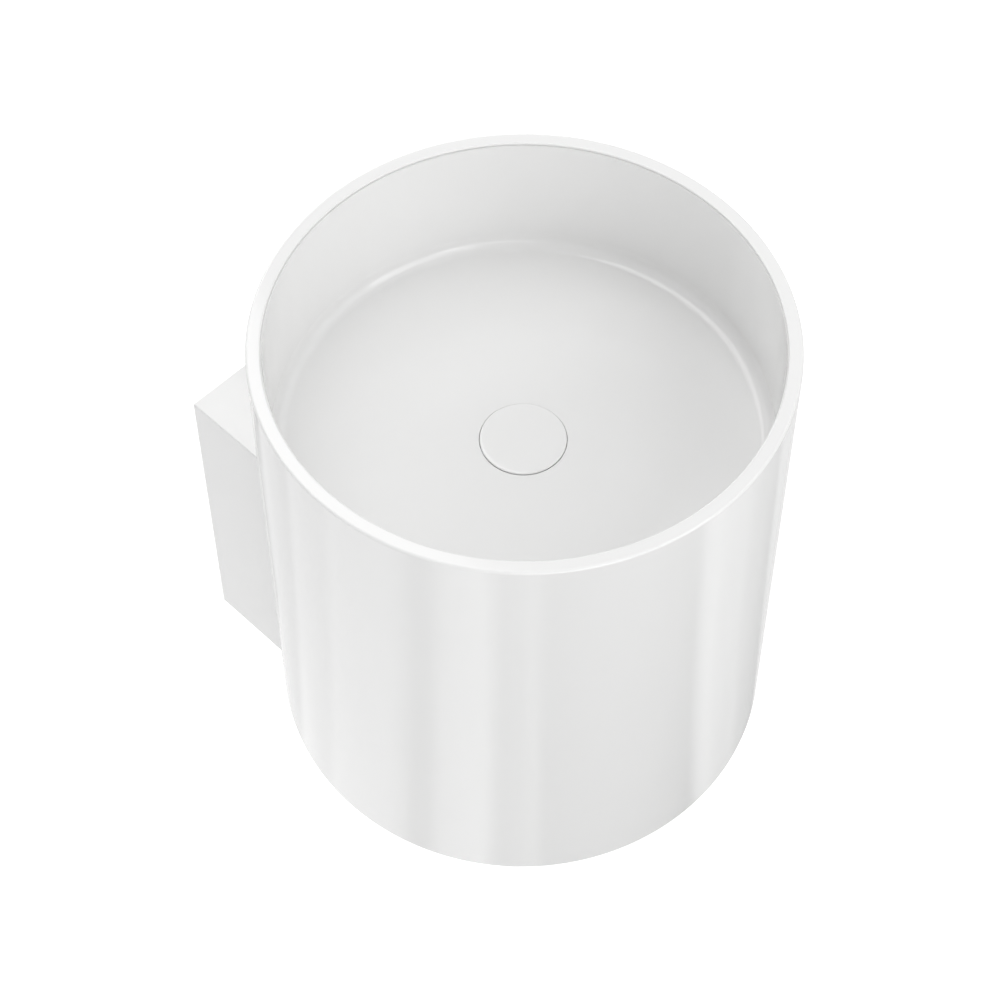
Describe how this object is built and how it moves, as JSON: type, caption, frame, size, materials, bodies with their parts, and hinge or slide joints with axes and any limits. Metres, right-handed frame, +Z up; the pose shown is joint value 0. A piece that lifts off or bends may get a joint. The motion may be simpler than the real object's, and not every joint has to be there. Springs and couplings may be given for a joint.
{
  "type": "wall hung basin",
  "caption": "Round drum-shaped white washbasin hung on a wall by a square box, with an inset bowl, a push-open waste and a concealed bottle trap.",
  "frame": {"origin": "centre of the four wall bolt holes, on the wall's surface", "axes": "+Z up, +Y into the wall, -Y out to the user, +X to the user's right as they face the wall"},
  "size_m": [0.4, 0.4449, 0.43],
  "materials": {
    "white_glaze": "gloss",
    "white_cap": "gloss",
    "zinc_steel": "satin",
    "bolt_steel": "satin",
    "grey_plastic": "matte",
    "white_plastic": "satin",
    "chrome": "polished",
    "brass": "satin",
    "black_rubber": "matte"
  },
  "bodies": {
    "basin": {"drum_shell": "white_glaze", "bowl": "white_glaze", "wall_box": "white_glaze", "wall_bracket": "zinc_steel", "hanger_plate": "zinc_steel", "saddle_block_left": "grey_plastic", "saddle_block_right": "grey_plastic", "clamp_block_left": "grey_plastic", "clamp_block_right": "grey_plastic", "hanger_bolts": "bolt_steel", "hanger_washers": "bolt_steel", "hanger_nuts": "bolt_steel", "lock_screws": "bolt_steel", "waste_body": "chrome", "flange_gasket": "black_rubber", "cup_washer": "black_rubber", "slip_washer": "white_plastic", "back_nut": "brass", "cartridge": "white_plastic", "plunger_spring": "bolt_steel", "inlet_gasket": "black_rubber", "inlet_pipe": "chrome", "inlet_nut": "chrome", "trap_head": "chrome", "neck_seal": "black_rubber", "neck_nut": "chrome", "cup_gasket": "black_rubber", "trap_cup": "chrome", "outlet_seal": "black_rubber", "outlet_nut": "chrome", "outlet_pipe": "chrome"},
    "plug": {"waste_cap": "white_cap", "plug_insert": "white_plastic", "plug_seal": "black_rubber", "plunger_stem": "brass"}
  },
  "joints": [
    {"name": "plug_push", "type": "slide", "parent": "basin", "child": "plug", "axis": [0, 0, 1], "range_m": [-0.0015, 0.0085], "deforming": ["plunger_spring"]}
  ]
}
